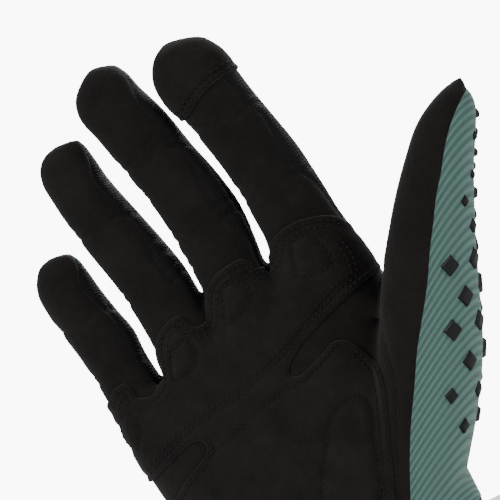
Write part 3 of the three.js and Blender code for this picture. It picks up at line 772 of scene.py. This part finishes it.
piece("palm_panel_cloth", *walled(*palm), SUEDE, "suede", ["palm_panel"])
piece("thumb_front_cloth", *walled(*thumb_front), SUEDE, "suede", ["thumb_front"])
piece("back_panel_cloth", *walled(*hand_back), KNIT, "knit", ["back_panel"])


for i, finger in enumerate(FINGERS):
    p, f = clip(*strips, right_of(finger, strips[0]))
    name = f"strip_{finger['name']}_side"
    if i < 3:
        p, f = clip(p, f, -right_of(FINGERS[i + 1], p))
        name = f"strip_{finger['name']}_{FINGERS[i + 1]['name']}"
    piece(name + "_cloth", *walled(p, f), MESH, "mesh", [name])

# The palm overlay, raised over the skin, with padded shapes and sewn lines pressed into it.
outline = smooth_line([row[:2] for row in OVERLAY], 0.8, corners=[row[2] for row in OVERLAY])
pads = {name: smooth_line(points, 0.8, closed=True) for name, points in PADS.items()}
across_line = smooth_line(ACROSS_LINE, 0.8)
lower_line = smooth_line(LOWER_LINE, 0.8)


def raised(p, f, edge, height, extra=0):
    """A layer over the skin: edge is the distance from its rim."""
    n = normals(p, f)
    rise = 0.15 + height * np.sqrt(np.clip(1 - (1 - np.clip(edge / height, 0, 1)) ** 2, 0, 1))
    top = p + n * (rise + extra)[:, None]
    return thick(top, f, n, height * 0.8, lined=False)


p, f = clip(*palm, inside(in_plane(palm[0]), outline))
p, f = clip(p, f, -(p[:, 1] - seam_height(p[:, 0], p[:, 2], -1)) - 0.5)
p, f = finer(p, f)
q = in_plane(p)
edge = np.maximum(inside(q, outline), 0)
extra = np.zeros(len(p))
for name, shape in pads.items():
    d = inside(q, shape)
    extra += 0.9 * ramp(d, 0, 3.5) - 0.45 * np.exp(-((d / 0.8) ** 2))
for line in (across_line, lower_line):
    extra -= 0.3 * np.exp(-((to_line(q, line) / 1) ** 2))
extra -= 0.25 * np.exp(-(((edge - 2.4) / 1.3) ** 2))
overlay_p, overlay_f = raised(p, f, edge, 1, extra * ramp(edge, 0.2, 1))
piece("palm_overlay_cloth", overlay_p, overlay_f, OVERLAY_SUEDE, "overlay", ["palm_overlay"])

# The fingertip cap.
index = FINGERS[3]
cap_line = smooth_line(CAP_EDGE, 0.8)
p, f = clip(skin_p, skin_f, to_line(in_plane(skin_p), cap_line))
p, f = clip(p, f, right_of(index, p) + right_of(FINGERS[2], p))
back_limit = seam_height(p[:, 0], p[:, 2], 1)
p, f = clip(p, f, back_limit - p[:, 1] + 2)
p, f = clip(p, f, p[:, 2] - palm_z(index["along"] + 0.3))
p, f = finer(p, f)
cap_edge = np.abs(to_line(in_plane(p), cap_line))
cap_p, cap_f = raised(p, f, cap_edge, 0.8, -0.2 * np.exp(-(((cap_edge - 2) / 1) ** 2)))
piece("fingertip_cap_cloth", cap_p, cap_f, OVERLAY_SUEDE, "overlay", ["fingertip_cap"])

# Sewing: short threads that lie on the fabric where the camera's plane shows their line.
overlay_tree = BVHTree.FromPolygons(
    (np.vstack([overlay_p, cap_p])).tolist(),
    np.vstack([overlay_f, cap_f + len(overlay_p)]).tolist(),
)
skin_tree = BVHTree.FromPolygons(skin_p.tolist(), skin_f.tolist())


def seen(point, trees):
    """The fabric's point and normal behind a point of the camera's plane."""
    target = RIGHT * point[0] + UP * point[1]
    ray = Vector((target - EYE).tolist()).normalized()
    hits = [tree.ray_cast(Vector(EYE.tolist()), ray) for tree in trees]
    hits = [hit for hit in hits if hit[0] is not None]
    if not hits:
        return None
    hit = min(hits, key=lambda h: h[3])
    normal = hit[1] if hit[1].dot(ray) < 0 else -hit[1]
    return np.array(hit[0]), np.array(normal)


def threads(line, pitch, radius, trees, length=0.78):
    """Capsules for one sewn line."""
    steps = np.concatenate([[0], np.cumsum(np.linalg.norm(np.diff(line, axis=0), axis=1))])
    points, faces = [], []
    sides = 6
    for k in range(int(steps[-1] / pitch)):
        at = (k + np.linspace(0.5 - length / 2, 0.5 + length / 2, 5)) * pitch
        flat = np.stack([np.interp(at, steps, line[:, j]) for j in range(2)], 1)
        found = [seen(q, trees) for q in flat]
        if any(hit is None for hit in found):
            continue
        spine = np.array([hit[0] for hit in found])
        normal = np.mean([hit[1] for hit in found], axis=0)
        normal /= np.linalg.norm(normal)
        along = spine[-1] - spine[0]
        reach = np.linalg.norm(along)
        if reach > 2.2 * pitch or reach < 0.2 * pitch:
            continue
        along /= reach
        across = np.cross(along, normal)
        across /= np.linalg.norm(across)
        spine += normal * (np.array([-0.1, 0.12, 0.2, 0.12, -0.1])[:, None])
        sizes = radius * np.array([0.5, 0.95, 1.05, 0.95, 0.5])
        base = len(points)
        for s, r in zip(spine, sizes):
            for i in range(sides):
                angle = 2 * math.pi * i / sides
                points.append(s + r * (math.cos(angle) * across + math.sin(angle) * normal))
        for r in range(4):
            for i in range(sides):
                a, b = base + r * sides + i, base + r * sides + (i + 1) % sides
                faces.append((a, b, b + sides, a + sides))
        faces.append(tuple(base + i for i in reversed(range(sides))))
        faces.append(tuple(base + 4 * sides + i for i in range(sides)))
    return points, faces


def inset(line, distance):
    """A closed or open line moved to its left."""
    d = np.gradient(line, axis=0)
    d /= np.maximum(np.linalg.norm(d, axis=1)[:, None], 1e-9)
    return line + np.stack([-d[:, 1], d[:, 0]], 1) * distance


def run(line, start, end):
    """Part of a line between the points nearest to start and end."""
    a = np.linalg.norm(line - np.array(start), axis=1).argmin()
    b = np.linalg.norm(line - np.array(end), axis=1).argmin()
    return line[a:b] if a < b else np.vstack([line[a:], line[:b]])


over = [overlay_tree]
sewn = []
lobes = run(outline, (-50.5, 124), (43, 139))
for distance in (-1.5, -3.4):
    sewn.append(inset(lobes, distance))
slit = run(outline, (41, 122), (24, 108.5))
sewn.append(inset(slit, -1.5))
thenar = run(outline, (27, 105), (9, 45))
for distance in (-1.5, -3.4):
    sewn.append(inset(thenar, distance))
for distance in (0.0, 1.8):
    sewn.append(inset(across_line, distance))
sewn.append(lower_line)
slit_b = run(outline, (-49, 89.5), (-49, 98.5))
sewn.append(inset(slit_b, -1.5))
for shape in pads.values():
    sewn.append(shape)
for distance in (1.4, 3.2):
    sewn.append(inset(cap_line, distance))

thread_points, thread_faces = [], []
for line in sewn:
    points, faces = threads(line, STITCH_PITCH, 0.26, over)
    thread_faces += [tuple(i + len(thread_points) for i in face) for face in faces]
    thread_points += points
stitching = new_object("stitching", thread_points, thread_faces)
stitching.data.materials.append(THREAD)
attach(stitching, "root")

# Rubber diamonds, each cast onto the skin from outside along its own direction.
ring_at = np.linspace(0, len(THUMB_RINGS) - 1, 300)
axis_points, _ = thumb_path(ring_at)
axis_along, axis_side, _ = thumb_axes(axis_points)
axis_steps = np.concatenate([[0], np.cumsum(np.linalg.norm(np.diff(axis_points, axis=0), axis=1))])


def diamond(share, size, degrees):
    at = (1 - share) * axis_steps[-1]
    centre = np.array([np.interp(at, axis_steps, axis_points[:, k]) for k in range(3)])
    along = np.array([np.interp(at, axis_steps, axis_along[:, k]) for k in range(3)])
    along /= np.linalg.norm(along)
    facing = np.array([0, -1.0, 0])
    facing -= along * (facing @ along)
    facing /= np.linalg.norm(facing)
    side = np.cross(facing, along) * -1
    if side[0] < 0:
        side = -side
    angle = math.radians(degrees + COLUMN_TURN)
    out = facing * math.cos(angle) + side * math.sin(angle)
    across = np.cross(along, out)
    count = 10
    grid = np.linspace(-1, 1, count + 1)
    points, faces = [], []
    for a in grid:
        for b in grid:
            u, v = (a - b) / 2, (a + b) / 2
            edge = (1 - max(abs(a), abs(b))) * size * DOT_WIDTH * 0.38
            origin = centre + across * u * size * DOT_WIDTH / 2 + along * v * size * DOT_LENGTH / 2
            hit = skin_tree.ray_cast(Vector((origin + out * 60).tolist()), Vector((-out).tolist()))
            if hit[0] is None:
                return None
            rise = DOT_HEIGHT * min(1, 0.15 + 0.85 * math.sin(min(edge / 0.5, 1) * math.pi / 2))
            points.append(np.array(hit[0]) + out * rise)
    row = count + 1
    for i in range(count):
        for j in range(count):
            a = i * row + j
            faces.append((a, a + row, a + row + 1))
            faces.append((a, a + row + 1, a + 1))
    points, faces = np.array(points), np.array(faces)
    if np.cross(points[faces[0, 1]] - points[faces[0, 0]], points[faces[0, 2]] - points[faces[0, 0]]) @ out < 0:
        faces = faces[:, ::-1]
    return thick(points, faces, np.tile(out, (len(points), 1)), 0.8)


for i, (share, size, columns) in enumerate(DOT_ROWS):
    for degrees in columns:
        made = diamond(share, size, degrees)
        if made is not None:
            name = f"diamond_row{i + 1}_at{degrees}"
            piece(name + "_rubber", *made, RUBBER, "rubber", [name])

# The cuff, with a folded hem at its opening.
CUFF_ROWS = [(0, 1.02, 1.02), (0.3, 0.99, 0.98), (0.6, 0.96, 0.94), (0.85, 0.955, 0.94), (1, 0.975, 0.97)]
rows = np.array(CUFF_ROWS)
at = np.linspace(0, 1, 90)
size = smooth_table(rows[:, 0], rows[:, 1:], at)
hem = 0.5 * ramp(0.16 - at, 0, 0.01)
wide, deep = size[:, 0] * CUFF_WIDTH / 2, size[:, 1] * CUFF_DEPTH / 2
x, y = superellipse(160, wide + hem, wide + hem, deep + hem, deep + hem, 2.3)
points = np.stack([x, y, np.repeat((at * CUFF_LENGTH)[:, None], 160, 1)], -1).reshape(-1, 3)
faces = []
for r in range(89):
    for i in range(160):
        j = (i + 1) % 160
        a, b = r * 160, (r + 1) * 160
        faces += [(a + i, a + j, b + j), (a + i, b + j, b + i)]
faces = np.array(faces)
piece("cuff_cloth", *thick(points, faces, normals(points, faces), 2), ELASTIC, "elastic", ["cuff"])

# The floor, the light and the camera.
floor_material, nodes, links, base = shader("floor", (0.86, 0.86, 0.86), 0.9)
corners = [(-1, -1), (1, -1), (1, 1), (-1, 1)]
floor = new_object("floor", [(x * 300, y * 300, -1) for x, y in corners], [(0, 1, 2, 3)])
floor.data.materials.append(floor_material)

# A bright backdrop, far behind the glove and square to the camera.
backdrop_material, nodes, links, base = shader("backdrop", (0.9, 0.9, 0.9), 0.9)
base.inputs["Emission Color"].default_value = (1, 1, 1, 1)
base.inputs["Emission Strength"].default_value = 9
behind = CENTRE - TOWARDS * 3000
places = [behind + RIGHT * x * 1000 + UP * y * 1000 for x, y in corners]
backdrop = new_object("backdrop", places, [(0, 1, 2, 3)])
backdrop.data.materials.append(backdrop_material)


def area_light(name, place, target, size, watts):
    data = bpy.data.lights.new(name, "AREA")
    data.size = size
    data.energy = watts
    obj = bpy.data.objects.new(name, data)
    obj.location = place
    direction = Vector(target) - Vector(place)
    obj.rotation_euler = direction.to_track_quat("-Z", "Y").to_euler()
    bpy.context.scene.collection.objects.link(obj)
    return obj


TARGET = (0.01, 0, 0.13)
area_light("key", (-0.6, -0.7, 0.8), TARGET, 0.5, 12)
area_light("fill", (0.9, -0.6, 0.3), TARGET, 0.6, 7)
area_light("rim", (0.4, 0.8, 0.7), TARGET, 0.6, 8)

world = bpy.data.worlds.new("studio")
world.use_nodes = True
world.node_tree.nodes["Background"].inputs["Color"].default_value = (1, 1, 1, 1)
world.node_tree.nodes["Background"].inputs["Strength"].default_value = 0.45
bpy.context.scene.world = world

camera = bpy.data.cameras.new("camera")
camera.sensor_width = SENSOR
camera.lens = SENSOR * DISTANCE / PICTURE_WIDTH
camera.clip_start = 0.05
camera.clip_end = 20
camera.dof.use_dof = False
camera_object = bpy.data.objects.new("camera", camera)
bpy.context.scene.collection.objects.link(camera_object)
camera_object.location = (EYE / 1000).tolist()
look = Vector((-TOWARDS).tolist()).to_track_quat("-Z", "Y").to_matrix().to_4x4()
camera_object.rotation_euler = look.to_euler()
camera_object.rotation_euler.rotate_axis("Z", -ROLL)
bpy.context.scene.camera = camera_object
